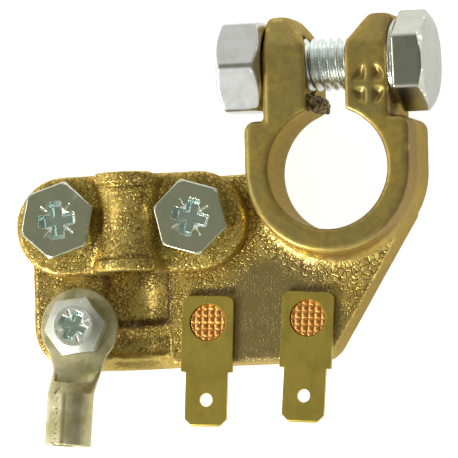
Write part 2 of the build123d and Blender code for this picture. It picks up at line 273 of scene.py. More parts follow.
def ripple(piece, size, height, group=""):
    """Raises and sinks a piece's skin by cloudy noise, all over or within a vertex group."""
    texture = bpy.data.textures.new(piece.name + "_clouds", "CLOUDS")
    texture.noise_scale = size
    modifier = piece.modifiers.new("ripple", "DISPLACE")
    modifier.texture = texture
    modifier.texture_coords = "LOCAL"
    modifier.strength = height
    modifier.mid_level = 0.5
    modifier.vertex_group = group
    apply_modifiers(piece)


casting = copy_of_node("clamp_casting", "clamp_casting_skin")

# the polarity mark on the right ear: four sunk quarters leave a raised plus sign between them
mark_centre = Vector((0.00652, 0.01190, 0.007))
mark_radii = (0.00255, 0.00320)
mark_depth = 0.0008
mark_bars = (0.00046, 0.00030)
pit_foot_share = 0.28
pit_middle_share = 0.50
pit_rise_share = 0.02
for side_x in (1, -1):
    for side_y in (1, -1):
        bpy.ops.mesh.primitive_cylinder_add(
            vertices=48, radius=mark_radii[0], depth=2 * mark_depth, location=mark_centre
        )
        bpy.context.object.scale.y = mark_radii[1] / mark_radii[0]
        quarter = settle("mark_quarter")
        bpy.ops.object.mode_set(mode="EDIT")
        for axis, side, bar in ((0, side_x, mark_bars[0]), (1, side_y, mark_bars[1])):
            cut_normal = Vector((0, 0, 0))
            cut_normal[axis] = side
            bpy.ops.mesh.select_all(action="SELECT")
            bpy.ops.mesh.bisect(
                plane_co=mark_centre + cut_normal * bar,
                plane_no=cut_normal,
                use_fill=True,
                clear_inner=True,
            )
        bpy.ops.object.mode_set(mode="OBJECT")
        deepest = Vector((side_x * mark_radii[0], side_y * mark_radii[1], 0))
        deepest = mark_centre + deepest * pit_middle_share
        for vertex in quarter.data.vertices:
            if vertex.co.z < mark_centre.z:
                vertex.co.x = deepest.x + (vertex.co.x - deepest.x) * pit_foot_share
                vertex.co.y = deepest.y + (vertex.co.y - deepest.y) * pit_foot_share
            else:
                vertex.co.z = mark_centre.z + mark_depth * pit_rise_share
        combine(casting, quarter, "DIFFERENCE")

# the bead across the trough's mouth
bead_radii = (0.00530, 0.00040)
bead_centre = Vector((-0.0307, -0.0256, 0.0022))
bead_top = -0.0006
bpy.ops.mesh.primitive_torus_add(
    major_segments=64,
    minor_segments=12,
    major_radius=bead_radii[0],
    minor_radius=bead_radii[1],
    location=bead_centre,
    rotation=(math.pi / 2, 0, 0),
)
bead = settle("mouth_bead")
bpy.ops.object.mode_set(mode="EDIT")
bpy.ops.mesh.select_all(action="SELECT")
bpy.ops.mesh.bisect(
    plane_co=(0, 0, bead_top), plane_no=(0, 0, 1), use_fill=True, clear_outer=True
)
bpy.ops.object.mode_set(mode="OBJECT")
choose(casting)
bead.select_set(True)
bpy.ops.object.join()

casting_voxel = 0.000273
casting_smoothing = 2
casting_ripples = ((0.0035, 0.00006), (0.0012, 0.00003))
remesh(casting, casting_voxel, casting_smoothing)
for size, height in casting_ripples:
    ripple(casting, size, height)

# the ear tips are softer than the rest, and the fillet under the ring is lumpy
tips_from = 0.0178
tips_fade = 0.0012
tips_smoothing = 45
tips_ripple = (0.0010, 0.00012)
skirt_low = -0.0006
skirt_high = 0.0012
skirt_inside = 0.0130
skirt_outside = 0.0168
skirt_back = 0.002
skirt_side_fade = 0.001
skirt_top_fade = 0.0006
skirt_ripple = (0.0011, 0.00030)
tips = casting.vertex_groups.new(name="ear_tips")
skirt = casting.vertex_groups.new(name="skirt")
for vertex in casting.data.vertices:
    place = vertex.co
    reach = math.hypot(place.x, place.y)
    if place.y > tips_from - tips_fade:
        tips.add([vertex.index], min(1, (place.y - tips_from) / tips_fade + 1), "REPLACE")
    at_foot = skirt_low < place.z < skirt_high and place.y < skirt_back
    if at_foot and skirt_inside < reach < skirt_outside:
        side_fade = (skirt_outside - reach) / skirt_side_fade
        top_fade = (skirt_high - place.z) / skirt_top_fade
        skirt.add([vertex.index], max(0, min(1, side_fade, top_fade)), "REPLACE")
smooth(casting, tips_smoothing, "ear_tips")
ripple(casting, *tips_ripple, "ear_tips")
ripple(casting, *skirt_ripple, "skirt")
casting.vertex_groups.clear()

# the skin's patterns are laid out in millimetres
to_millimetres = 1000.0
patch_outside = 0.5
patch_inside = 0.2


def grain(owner, place, scale, detail, roughness=0.55):
    """Cloudy noise with a number of cells to the millimetre."""
    made = add_node(
        owner,
        "ShaderNodeTexNoise",
        {"Vector": place, "Scale": scale, "Detail": detail, "Roughness": roughness},
    )
    return made.outputs[0]


def bump(owner, height_map, metres, below=None):
    """Bumps of a depth in metres, on top of other bumps."""
    feeds = {"Height": height_map, "Distance": metres, "Strength": 1.0}
    if below is not None:
        feeds["Normal"] = below
    return add_node(owner, "ShaderNodeBump", feeds).outputs[0]


def new_material(name):
    """An empty material and its place on the piece in millimetres."""
    material = bpy.data.materials.new(name)
    material.use_nodes = True
    material.node_tree.nodes.clear()
    place = add_node(material, "ShaderNodeTexCoord").outputs["Object"]
    feeds = {0: place, "Scale": to_millimetres}
    place = add_node(material, "ShaderNodeVectorMath", feeds, operation="SCALE").outputs[0]
    return material, place


def finish_metal(material, colour, roughness, normal, metallic=1.0, edge=(1, 1, 1, 1)):
    """Ends a material in one metal surface, whose colour at grazing angles is the edge colour."""
    surface = add_node(
        material,
        "ShaderNodeBsdfPrincipled",
        {
            "Base Color": colour,
            "Roughness": roughness,
            "Metallic": metallic,
            "Normal": normal,
            "Specular Tint": edge,
        },
    )
    add_node(material, "ShaderNodeOutputMaterial", {"Surface": surface.outputs[0]})
    return material


def warp(owner, place, scale, millimetres):
    """Shifts a place by a random drift."""
    feeds = {"Vector": place, "Scale": scale, "Detail": 2.0}
    drift = add_node(owner, "ShaderNodeTexNoise", feeds).outputs[1]
    feeds = {0: drift, "Scale": millimetres}
    drift = add_node(owner, "ShaderNodeVectorMath", feeds, operation="SCALE").outputs[0]
    feeds = {0: place, 1: drift}
    return add_node(owner, "ShaderNodeVectorMath", feeds, operation="ADD").outputs[0]


def cells(owner, place, scale):
    """Irregular cells with a number to the millimetre: the distance to their edges, and a random
    number for each cell."""
    edges = add_node(
        owner,
        "ShaderNodeTexVoronoi",
        {"Vector": place, "Scale": scale},
        feature="DISTANCE_TO_EDGE",
    )
    tones = add_node(owner, "ShaderNodeTexVoronoi", {"Vector": place, "Scale": scale}, feature="F1")
    tone = add_node(owner, "ShaderNodeSeparateColor", {0: tones.outputs["Color"]}).outputs[0]
    return edges.outputs["Distance"], tone


def patch(owner, parts, x, y, half_x, half_y):
    """A soft-edged rectangle seen from above, in millimetres."""
    within = []
    for way, middle, half in (("X", x, half_x), ("Y", y, half_y)):
        aside = arithmetic(owner, "SUBTRACT", parts[way], middle)
        aside = arithmetic(owner, "ABSOLUTE", aside)
        within.append(step_mask(owner, aside, half + patch_outside, half - patch_inside))
    return product(owner, *within)


def skirt_cells(owner, place, parts):
    """Cells that run along and across the fillet round the ring, with a random number for each,
    and the zone in which they lie."""
    reach = product(owner, parts["X"], parts["X"])
    reach = arithmetic(owner, "MULTIPLY_ADD", parts["Y"], parts["Y"], reach)
    reach = arithmetic(owner, "SQRT", reach)
    round_ring = arithmetic(owner, "ARCTAN2", parts["Y"], parts["X"])
    round_ring = product(owner, round_ring, skirt_middle)
    polar = add_node(owner, "ShaderNodeCombineXYZ", {0: reach, 1: round_ring}).outputs[0]
    edges, tone = cells(owner, warp(owner, polar, 0.8, 0.5), skirt_crack_cells)
    ragged = grain(owner, place, 0.5, 2.0)
    ragged = arithmetic(owner, "MULTIPLY_ADD", ragged, skirt_drift, reach)
    zone = step_mask(owner, reach, *skirt_from)
    zone = product(owner, zone, step_mask(owner, ragged, *skirt_to))
    return edges, tone, zone


def cast_brass(name, plain_above, worn_centre, worn_reach, smooth_patch, shadow_patches=()):
    """Yellow passivated brass: crackled below a height in millimetres and smooth above it. Round
    the worn centre it is browner and smoother. Painted shade darkens its crevices and the painted
    shadow patches, and painted glints brighten some crackle cells. Its hollows are darker, partly
    from passivation and partly as painted shade, and its sharp ridges lighter, partly from wear and
    partly as painted highlight. The body, which alone has shadow patches, is also cracked along and
    across the fillet round its ring. It has painted sheen on that fillet and in the trough, and
    painted shade on its upright walls at the right."""
    material, place = new_material(name)
    parts = add_node(material, "ShaderNodeSeparateXYZ", {0: place}).outputs
    normal_way = add_node(material, "ShaderNodeTexCoord").outputs["Normal"]
    up = add_node(material, "ShaderNodeSeparateXYZ", {0: normal_way}).outputs["Z"]
    low_enough = step_mask(material, parts["Z"], plain_above + plain_fade, plain_above)
    crackled = product(material, low_enough, step_mask(material, up, *level_span))
    feeds = {0: place, 1: worn_centre}
    away = add_node(material, "ShaderNodeVectorMath", feeds, operation="DISTANCE").outputs["Value"]
    ragged = grain(material, place, 0.35, 4.0)
    away = arithmetic(material, "MULTIPLY_ADD", ragged, worn_drift, away)
    worn = step_mask(material, away, worn_reach + worn_fade[0], worn_reach + worn_fade[1])
    worn = product(material, worn, crackled)
    strong = arithmetic(material, "MULTIPLY_ADD", worn, -smoothed_share, crackled)
    smoothed = patch(material, parts, *smooth_patch)
    smoothed = arithmetic(material, "MULTIPLY_ADD", smoothed, -smoothed_share, 1.0)
    strong = product(material, strong, smoothed)

    blocks, block_tone = cells(material, warp(material, place, 1.0, 0.6), block_cells)
    scales, scale_tone = cells(material, warp(material, place, 1.6, 0.4), scale_cells)
    patchy = step_mask(material, grain(material, place, 0.4, 3.0), 0.36, 0.50)
    painted_sheen = 0.0
    painted_wall_shade = 0.0
    if shadow_patches:
        cracks, crack_tone, skirt_zone = skirt_cells(material, place, parts)
        skirt_zone = product(material, skirt_zone, crackled)
        apart = arithmetic(material, "SUBTRACT", cracks, blocks)
        blocks = arithmetic(material, "MULTIPLY_ADD", apart, skirt_zone, blocks)
        apart = arithmetic(material, "SUBTRACT", crack_tone, block_tone)
        block_tone = arithmetic(material, "MULTIPLY_ADD", apart, skirt_zone, block_tone)
        patchy = arithmetic(material, "MAXIMUM", patchy, skirt_zone)
        strong = arithmetic(material, "MAXIMUM", strong, skirt_zone)
        # painted sheen: the fillet under the ring and the middle of the trough are lightened
        # towards bright gold
        skirt_sheen = product(material, skirt_zone, skirt_sheen_share)
        trough_sheen = product(material, patch(material, parts, *trough_middle), trough_sheen_share)
        painted_sheen = arithmetic(material, "MAXIMUM", skirt_sheen, trough_sheen)
        # painted shade: upright walls at mid height on the right side are darkened
        painted_wall_shade = product(
            material,
            step_mask(material, parts["Z"], *wall_shade_heights),
            step_mask(material, up, *upright_span),
            step_mask(material, parts["X"], *wall_shade_side),
        )
    block_top = step_mask(material, blocks, *block_flank)
    scale_top = step_mask(material, scales, *scale_flank)
    blocky = product(material, strong, patchy)
    scaly = arithmetic(material, "MULTIPLY_ADD", patchy, -scales_lost_share, 1.0)
    scaly = product(material, scaly, strong)
    # hollows are darkened, partly passivation gathered there and partly painted shade; sharp ridges
    # are lightened, partly worn edges and partly painted highlight
    edge_form = add_node(material, "ShaderNodeNewGeometry").outputs["Pointiness"]
    hollow = step_mask(material, edge_form, *hollow_patina_and_shade_span)
    raised = step_mask(material, edge_form, *raised_wear_and_highlight_span)
    # painted shade: crevices found by occlusion, and the painted shadow patches, are darkened
    # towards brown-black
    painted_shade = add_node(
        material,
        "ShaderNodeAmbientOcclusion",
        {"Distance": crevice_reach},
        samples=8,
        only_local=True,
    ).outputs["AO"]
    painted_shade = step_mask(material, painted_shade, *shade_span)
    for x, y, half_x, half_y, amount in shadow_patches:
        shadow_patch = product(material, patch(material, parts, x, y, half_x, half_y), amount)
        painted_shade = arithmetic(material, "MAXIMUM", painted_shade, shadow_patch)
    painted_shade = product(material, painted_shade, low_enough)

    broad = step_mask(material, grain(material, place, 0.14, 3.0), 0.38, 0.62)
    mottle = step_mask(material, grain(material, place, 1.1, 5.0, 0.62), 0.40, 0.62)
    fine = grain(material, place, 6.0, 3.0, 0.6)
    golden = mix_colour(material, block_tone, brass_deep, brass_bright)
    # painted glints: bright spots on the tops of random crackle cells
    glint_amount = arithmetic(material, "MULTIPLY_ADD", strong, *glint_shares)
    painted_glints = step_mask(material, scale_tone, *glint_tone_span)
    painted_glints = product(material, painted_glints, scale_top, glint_amount)
    block_gaps = product(material, arithmetic(material, "SUBTRACT", 1.0, block_top), blocky)
    scale_gaps = product(material, arithmetic(material, "SUBTRACT", 1.0, scale_top), scaly)
    colour = mix_colour(material, broad, brass_gold, brass_olive)
    # among these layers are painted glints, painted sheen, painted shade on the right walls, and
    # painted shade in crevices and shadows
    for where, share, layer in (
        (mottle, 0.5, brass_brown),
        (painted_wall_shade, 0.6, brass_wall_shade),
        (strong, 0.75, golden),
        (painted_glints, 1.0, brass_bright),
        (painted_sheen, 1.0, brass_bright),
        (block_gaps, 0.8, brass_line),
        (scale_gaps, 0.35, brass_line),
        (worn, 0.7, brass_worn),
        (hollow, 0.5, brass_line),
        (raised, 0.25, brass_bright),
        (painted_shade, 0.85, brass_painted_shade),
    ):
        colour = mix_colour(material, product(material, where, share), colour, layer)

    roughness = arithmetic(material, "MULTIPLY_ADD", crackled, -crackle_gloss, plain_roughness)
    roughness = arithmetic(material, "MULTIPLY_ADD", fine, fine_roughness, roughness)
    swell_depth = arithmetic(material, "MULTIPLY_ADD", strong, *swell_depths)
    bumps = bump(material, grain(material, place, 0.7, 3.0), swell_depth)
    bumps = bump(material, block_top, product(material, blocky, block_depth), bumps)
    bumps = bump(material, scale_top, product(material, scaly, scale_depth), bumps)
    bumps = bump(material, fine, sand_depth, bumps)
    return finish_metal(material, colour, roughness, bumps, brass_metallic, brass_edge)


# where the crackle lies, in millimetres or as a face's way up, and how many cells a millimetre has
plain_fade = 0.5
level_span = (0.05, 0.5)
worn_drift = 6.0
worn_fade = (5.0, 1.0)
smoothed_share = 0.75
scales_lost_share = 0.5
block_cells = 1.75
block_flank = (0.03, 0.16)
scale_cells = 2.7
scale_flank = (0.02, 0.22)
skirt_crack_cells = 1.25
skirt_middle = 14.9
skirt_drift = 3.0
skirt_from = (12.9, 13.7)
skirt_to = (18.5, 17.5)
# how strongly the painted sheen, shade, glints and highlights and the darker hollows lie on the
# skin, and where
skirt_sheen_share = 0.6
trough_sheen_share = 0.4
wall_shade_heights = (1.4, 3.2)
wall_shade_side = (4.0, 8.5)
upright_span = (0.92, 0.55)
hollow_patina_and_shade_span = (0.485, 0.44)
raised_wear_and_highlight_span = (0.515, 0.56)
shade_span = (0.90, 0.50)
crevice_reach = 0.0012
glint_tone_span = (0.55, 0.85)
glint_shares = (0.4, 0.05)
# gloss, and the depths of the bumps in metres
brass_metallic = 0.72
plain_roughness = 0.34
crackle_gloss = 0.12
fine_roughness = 0.10
swell_depths = (0.00004, 0.00002)
block_depth = 0.00006
scale_depth = 0.000012
sand_depth = 0.00001
brass_gold = (0.47, 0.34, 0.08, 1)
brass_olive = (0.37, 0.295, 0.09, 1)
brass_brown = (0.31, 0.205, 0.075, 1)
# colour of the painted shade on the right-side walls
brass_wall_shade = (0.21, 0.125, 0.075, 1)
# bright gold: the cells' random tone, and the colour of the painted glints, sheen and highlights
brass_bright = (1.0, 0.76, 0.23, 1)
brass_deep = (0.66, 0.44, 0.075, 1)
brass_line = (0.14, 0.085, 0.025, 1)
# colour of the painted shade in crevices and painted shadows
brass_painted_shade = (0.085, 0.055, 0.045, 1)
brass_worn = (0.30, 0.23, 0.105, 1)
brass_edge = (0.86, 0.69, 0.34, 1)
plate_wear = Vector((-9.5, -21.5, 0.0))
# each painted shadow patch: its middle and half its size in millimetres, and how strong it is
painted_shadows = (
    (-25.9, -16.6, 0.3, 3.4, 0.8),
    (-35.5, -16.0, 0.3, 2.6, 0.55),
    (-30.7, -20.7, 5.0, 0.45, 0.9),
    (-29.5, -23.7, 3.8, 0.7, 0.15),
    (-19.3, -16.8, 3.2, 0.4, 0.75),
    (-4.6, -17.0, 3.0, 0.25, 0.6),
    (-45.0, -17.0, 1.4, 6.0, 0.25),
)
trough_mouth = (-30.7, -26.2, 5.2, 1.1)
trough_middle = (-30.4, -16.6, 3.6, 3.0)
plate_plain_above = 0.35
plate_wear_reach = 9.5
casting.data.materials.append(
    cast_brass(
        "cast_brass_body",
        plate_plain_above,
        plate_wear,
        plate_wear_reach,
        trough_mouth,
        painted_shadows,
    )
)
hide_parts("clamp_casting")
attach(casting, "clamp_body")

# Casting flash: a rough dark lump that was left on the left ear's inner face, behind the bolt.
flash_centre = (-0.0029, 0.0098, 0.0004)
flash_size = (0.0014, 0.0023, 0.0112)
flash_edge = 0.0006
flash_voxel = 0.00018
flash_smoothing = 6
flash_ripples = ((0.0011, 0.0012), (0.0004, 0.0004))
flash_dark = (0.09, 0.07, 0.04, 1)
flash_light = (0.50, 0.38, 0.14, 1)
flash_roughness = 0.4
flash_metallic = 0.7
flash_pit_depth = 0.0002
bpy.ops.mesh.primitive_cube_add(size=1, location=flash_centre, scale=flash_size)
flash = settle("casting_flash")
flash_rounding = flash.modifiers.new("rounded", "BEVEL")
flash_rounding.width = flash_edge
flash_rounding.segments = 3
remesh(flash, flash_voxel, flash_smoothing)
for size, height in flash_ripples:
    ripple(flash, size, height)
flash_metal, flash_place = new_material("burnt_flash")
flash_spots = step_mask(flash_metal, grain(flash_metal, flash_place, 1.6, 4.0), 0.42, 0.62)
flash_colour = mix_colour(flash_metal, flash_spots, flash_dark, flash_light)
flash_bumps = bump(flash_metal, grain(flash_metal, flash_place, 3.0, 4.0), flash_pit_depth)
flash.data.materials.append(
    finish_metal(flash_metal, flash_colour, flash_roughness, flash_bumps, flash_metallic)
)
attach(flash, "clamp_body")

# Clamp bolt: M8 hexagon bolt of bright zinc plated steel, cold headed and thread rolled. Its head
# has a thin washer face on the right ear, and its thread crosses the slot into the nut.
bolt_axis = Vector((0.0095, 0.01545, 0.0016))
bolt_pitch = 0.00125
bolt_radius = 0.004
thread_depth = 0.00074
thread_crest = 0.00396
bolt_length = 0.025
bolt_cuts = 220
thread_end = -0.0012
bolt_flats = 0.013
head_height = 0.0053
washer_height = 0.0006
washer_overlap_share = 1.5
face_share = 0.95
bolt_edge = 0.00045
bolt_turn = math.radians(5)
bolt_voxel = 0.0001
bolt_smoothing = 8
bolt_triangles = 170000
flank_steepness = 1.3
root_share = 0.15


def hexagon(name, flats, low, high, turn, share, edge, fall=30, chamfer_foot=False):
    """Hexagon bar along Z, a flat towards +Y before its turn, with rounded edges, and with its
    corners turned off at an angle at the top, or at both ends."""
    corner_fall = math.tan(math.radians(fall))
    corner = flats / 2 / math.cos(math.radians(30))
    face = flats / 2 * share
    tall = high - low
    middle = (0, 0, (low + high) / 2)
    bpy.ops.mesh.primitive_cylinder_add(
        vertices=6, radius=corner, depth=tall, location=middle, rotation=(0, 0, turn + math.pi / 6)
    )
    bar = settle(name)
    rounding = bar.modifiers.new("rounding", "BEVEL")
    rounding.width = edge
    rounding.segments = 2
    apply_modifiers(bar)
    ends = [(face + tall / corner_fall, face)]
    if chamfer_foot:
        ends.append((face, face + tall / corner_fall))
    for foot_radius, top_radius in ends:
        bpy.ops.mesh.primitive_cone_add(
            vertices=96, radius1=foot_radius, radius2=top_radius, depth=tall, location=middle
        )
        combine(bar, settle("corner_cone"), "INTERSECT")
    return bar


def cylinder(name, radius, low, high, vertices=96):
    """Cylinder along Z between two heights."""
    bpy.ops.mesh.primitive_cylinder_add(
        vertices=vertices, radius=radius, depth=high - low, location=(0, 0, (low + high) / 2)
    )
    return settle(name)


def threaded_rod(name, radius, low, high, pitch, depth, cuts, plain_below, plain_above):
    """Rod along Z with a right-hand thread, plain past the two heights that end the thread."""
    rod = cylinder(name, radius, low, high, 72)
    for edge in rod.data.edges:
        ends = [rod.data.vertices[index].co for index in edge.vertices]
        edge.select = abs(ends[0].z - ends[1].z) > depth
    for face in rod.data.polygons:
        face.select = False
    bpy.ops.object.mode_set(mode="EDIT")
    bpy.ops.mesh.select_mode(type="EDGE")
    bpy.ops.mesh.subdivide(number_cuts=cuts)
    bpy.ops.object.mode_set(mode="OBJECT")
    for vertex in rod.data.vertices:
        place = vertex.co
        reach = math.hypot(place.x, place.y)
        if reach < radius / 2:
            continue
        turn = math.atan2(place.y, place.x) / math.tau
        along = (place.z / pitch - turn) % 1
        flank = abs(along - 0.5) * 2 * flank_steepness - root_share
        flank = min(1, max(0, flank))
        from_below = max(0, (place.z - plain_below) / pitch)
        from_above = max(0, (plain_above - place.z) / pitch)
        sunk = depth * (1 - flank) * min(1, from_below, from_above)
        if place.z - low < depth:
            sunk = max(sunk, depth - (place.z - low))
        place.x *= (reach - sunk) / reach
        place.y *= (reach - sunk) / reach
    return rod


def soften(piece, voxel, smoothing, triangles):
    """Rounds a piece's edges as plating and wear do, and keeps it to a number of triangles."""
    remesh(piece, voxel, smoothing)
    made = 2 * len(piece.data.polygons)
    if made > triangles:
        modifier = piece.modifiers.new("thinned", "DECIMATE")
        modifier.ratio = triangles / made
        apply_modifiers(piece)


def place_piece(piece, centre, turn):
    """Moves a finished mesh from the origin to its place, in its mesh."""
    piece.data.transform(Matrix.Translation(centre) @ turn)


bolt = hexagon(
    "clamp_bolt_m8", bolt_flats, washer_height, head_height, math.pi / 2 + bolt_turn, face_share,
    bolt_edge,
)
washer_top = washer_height * washer_overlap_share
washer_face = cylinder("washer_face", bolt_flats / 2 * face_share, 0, washer_top)
combine(bolt, washer_face, "UNION")
shank = threaded_rod(
    "bolt_shank", thread_crest, -bolt_length, washer_height, bolt_pitch, thread_depth, bolt_cuts,
    -bolt_length - bolt_pitch, thread_end,
)
combine(bolt, shank, "UNION", "MANIFOLD")
soften(bolt, bolt_voxel, bolt_smoothing, bolt_triangles)
place_piece(bolt, bolt_axis, Matrix.Rotation(math.pi / 2, 4, "Y"))


def zinc_plate(name, colour, dull, roughness, scratch):
    """Zinc plated steel: fine draw marks, a few duller clouds and soft dents in the flats, and its
    sharp edges lighter, partly from worn plating and partly as a painted highlight."""
    material, place = new_material(name)
    clouds = step_mask(material, grain(material, place, 0.5, 4.0), 0.42, 0.66)
    fine = grain(material, place, 7.0, 3.0, 0.65)
    tint = mix_colour(material, product(material, clouds, dull_share), colour, dull)
    # sharp edges lighter: worn plating and painted edge highlight
    edge_wear_and_highlight = add_node(material, "ShaderNodeNewGeometry").outputs["Pointiness"]
    tint = mix_colour(material, step_mask(material, edge_wear_and_highlight, *edge_wear_and_highlight_span), tint, edge_wear_and_highlight_zinc)
    rough = arithmetic(material, "MULTIPLY_ADD", fine, grain_roughness, roughness)
    dents = bump(material, grain(material, place, 0.7, 2.0), dent_depth)
    marks = bump(material, fine, scratch, dents)
    return finish_metal(material, tint, rough, marks)


dull_share = 0.6
edge_wear_and_highlight_span = (0.53, 0.60)
edge_wear_and_highlight_zinc = (0.93, 0.95, 0.92, 1)
grain_roughness = 0.14
dent_depth = 0.00003
# the bolt's thread has a lighter copy of the head's zinc, which paints light onto it
head_zinc = zinc_plate("head_zinc", (0.50, 0.51, 0.44, 1), (0.42, 0.43, 0.36, 1), 0.16, 0.000012)
thread_zinc_painted_light = zinc_plate("thread_zinc_painted_light", (0.80, 0.86, 0.84, 1), (0.68, 0.76, 0.74, 1), 0.20, 0.00001)
bolt.data.materials.clear()
bolt.data.materials.append(head_zinc)
bolt.data.materials.append(thread_zinc_painted_light)
for face in bolt.data.polygons:
    face.material_index = 1 if face.center.x < bolt_axis.x else 0
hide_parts("clamp_bolt")
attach(bolt, "bolt")

# Clamp nut: M8 hexagon nut of the same plated steel, chamfered at both ends, against the left ear.
nut_height = 0.0068
nut_turn = math.radians(-1.5)
nut_seat = Vector((-0.0095, 0.01545, 0.0016))
thread_gap = 0.00006
nut_face_share = 0.89
nut_edge = 0.0005
nut_triangles = 110000
nut_cuts = 80
nut = hexagon(
    "clamp_nut_m8", bolt_flats, 0, nut_height, nut_turn, nut_face_share, nut_edge,
    chamfer_foot=True,
)
mouth_sink = 0.0006
nut_thread = threaded_rod(
    "nut_thread", bolt_radius + thread_gap, -mouth_sink, nut_height + mouth_sink, bolt_pitch,
    thread_depth - thread_gap, nut_cuts, -bolt_pitch * 2, nut_height + bolt_pitch * 2,
)
combine(nut, nut_thread, "DIFFERENCE", "MANIFOLD")
for foot_radius, top_radius, height in (
    (bolt_radius + mouth_sink, bolt_radius - mouth_sink, 0),
    (bolt_radius - mouth_sink, bolt_radius + mouth_sink, nut_height),
):
    bpy.ops.mesh.primitive_cone_add(
        vertices=72, radius1=foot_radius, radius2=top_radius, depth=2 * mouth_sink,
        location=(0, 0, height),
    )
    combine(nut, settle("thread_mouth"), "DIFFERENCE")
soften(nut, bolt_voxel, bolt_smoothing, nut_triangles)
place_piece(nut, nut_seat, Matrix.Rotation(-math.pi / 2, 4, "Y"))
nut.data.materials.clear()
nut.data.materials.append(
    zinc_plate("nut_zinc", (0.65, 0.65, 0.63, 1), (0.56, 0.56, 0.53, 1), 0.14, 0.00001)
)
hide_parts("clamp_nut")
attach(nut, "nut")

# Cable saddle: a cast brass strap with two flat flanges and an arch over the cable. Each end of the
# arch is a rounded lip behind a groove, and the whole saddle has the crackled yellow skin.
cable_middle = -0.0307
saddle = copy_of_node("cable_saddle", "cable_saddle_skin")
saddle_voxel = 0.00020
saddle_smoothing = 2
remesh(saddle, saddle_voxel, saddle_smoothing)
foot_band = (0.0026, 0.0062)
foot_sides = (0.0026, 0.0064)
foot_smoothing = 120
foot = saddle.vertex_groups.new(name="arch_foot")
for vertex in saddle.data.vertices:
    aside = abs(vertex.co.x - cable_middle)
    if foot_band[0] < vertex.co.z < foot_band[1] and foot_sides[0] < aside < foot_sides[1]:
        foot.add([vertex.index], 1.0, "REPLACE")
smooth(saddle, foot_smoothing, "arch_foot")
saddle.vertex_groups.clear()
saddle_ripples = ((0.0022, 0.00014), (0.0009, 0.00005))
for size, height in saddle_ripples:
    ripple(saddle, size, height)
saddle_plain_above = 8.25
saddle_wear_reach = -1.5
saddle_wear = Vector((-18.0, -12.0, 3.0))
arch_flank = (-32.4, -4.4, 0.7, 1.6)
saddle.data.materials.append(
    cast_brass(
        "cast_brass_saddle", saddle_plain_above, saddle_wear, saddle_wear_reach, arch_flank
    )
)
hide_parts("cable_saddle")
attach(saddle, "saddle")

# Saddle screws and lug screw: hexagon screws with a cross recess, cold headed and zinc plated. The
# punch that made the recess left four short marks between its wings.
screw_voxel = 0.00008
screw_smoothing = 3
screw_edge = 0.00020
screw_triangles = 90000
crest_share = 0.985
shank_sink_share = 0.2
pitches_across = 6
screw_thread_share = 0.6
cuts_to_pitch = 10
recess_depth_share = 0.45
recess_reach_share = 0.4
recess_foot_height_share = 0.3
recess_rim_height_share = 0.96
recess_span_share = 0.66
recess_wing_share = 0.21
recess_foot_share = 0.66
recess_core_share = 0.72
recess_tip_share = 0.1
tick_reach_share = 0.28
tick_place_share = 0.62
tick_width = 0.00020


def box_piece(name, width, length, low, high, foot_share, turn):
    """Box along Z between two heights, narrower at its foot."""
    bpy.ops.mesh.primitive_cube_add(size=1, location=(0, 0, (low + high) / 2))
    bpy.context.object.scale = (width, length, high - low)
    piece = settle(name)
    for vertex in piece.data.vertices:
        if vertex.co.z < (low + high) / 2:
            vertex.co.x *= foot_share
            vertex.co.y *= foot_share
    piece.data.transform(Matrix.Rotation(turn, 4, "Z"))
    return piece


def cross_screw(name, diameter, flats, head, length, turns, share, fall, depth):
    """Hexagon screw with its head's seat at height 0 and its cross recess on top."""
    turn, recess_turn = turns
    screw = hexagon(name, flats, 0, head, turn, share, screw_edge, fall)
    span = flats * recess_span_share
    wing = flats * recess_wing_share
    feet = (head - depth, head + depth, recess_foot_share, recess_turn)
    recess = box_piece("wing", span, wing, *feet)
    combine(recess, box_piece("wing", wing, span, *feet), "UNION")
    core = flats * recess_core_share
    core = box_piece(
        "core", core, core, head - depth / 2, head + depth / 2, recess_tip_share,
        recess_turn + math.pi / 4,
    )
    combine(recess, core, "UNION")
    combine(screw, recess, "DIFFERENCE")
    for quarter in range(4):
        tick_turn = recess_turn + math.pi / 4 + quarter * math.pi / 2
        reach = flats * tick_reach_share
        tick = box_piece("tick", reach, tick_width, -tick_width / 2, tick_width / 2, 1, 0)
        tick.data.transform(Matrix.Rotation(math.pi / 4, 4, "X"))
        tick.data.transform(
            Matrix.Translation((0, 0, head))
            @ Matrix.Rotation(tick_turn, 4, "Z")
            @ Matrix.Translation((reach * tick_place_share, 0, 0))
        )
        combine(screw, tick, "DIFFERENCE")
    pitch = diameter / pitches_across
    rod = threaded_rod(
        name + "_rod", diameter / 2 * crest_share, -length, head * shank_sink_share, pitch,
        pitch * screw_thread_share, int(length / pitch * cuts_to_pitch), -length - pitch, -pitch,
    )
    combine(screw, rod, "UNION", "MANIFOLD")
    soften(screw, screw_voxel, screw_smoothing, screw_triangles)
    return screw


screw_zinc = zinc_plate("screw_zinc", (0.68, 0.71, 0.53, 1), (0.59, 0.63, 0.49, 1), 0.12, 0.000005)
lug_screw_zinc = zinc_plate(
    "lug_screw_zinc", (0.74, 0.76, 0.64, 1), (0.60, 0.62, 0.50, 1), 0.34, 0.00001
)
# painted reflection: the recess faces get a paler, mint-tinted copy of the zinc
recess_zinc_painted_sheen = zinc_plate(
    "recess_zinc_painted_sheen", (0.72, 0.84, 0.78, 1), (0.62, 0.72, 0.68, 1), 0.14, 0.00001
)
saddle_top = 0.003
lug_sheet = 0.001
left_seat = Vector((-0.0407, -0.00585, saddle_top))
right_seat = Vector((-0.0207, -0.00625, saddle_top))
lug_seat = Vector((-0.03926, -0.02117, lug_sheet))
